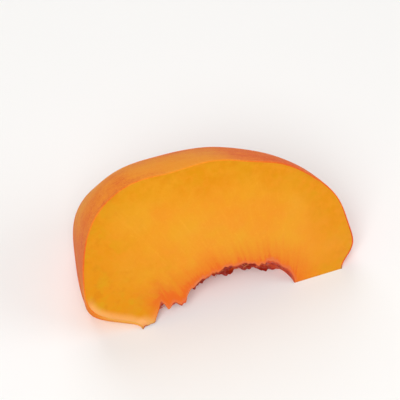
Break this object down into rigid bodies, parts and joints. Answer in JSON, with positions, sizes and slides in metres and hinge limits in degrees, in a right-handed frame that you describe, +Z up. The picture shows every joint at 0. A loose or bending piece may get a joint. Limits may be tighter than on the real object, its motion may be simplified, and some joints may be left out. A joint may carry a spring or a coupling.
{
  "type": "peach wedge",
  "caption": "Wedge of ripe yellow peach with its skin on, cut down to the stone, with the ragged red bed that the stone left along its core.",
  "frame": {"origin": "middle of the wedge's bounding box, on the plane of the flat cut face that it lies on", "axes": "+X along the fruit's axis from the stem end to the tip, +Y from the core towards the skin, +Z up from the cut face that it lies on"},
  "size_m": [0.0654, 0.0364, 0.0335],
  "materials": {
    "peach_flesh": "wet golden yellow-orange fruit flesh",
    "peach_skin": "finely furred skin, red-orange blush over golden yellow",
    "peach_stone_bed": "moist, torn, deep red fibres"
  },
  "bodies": {
    "root": {"peach_wedge": "peach_flesh"}
  },
  "joints": []
}
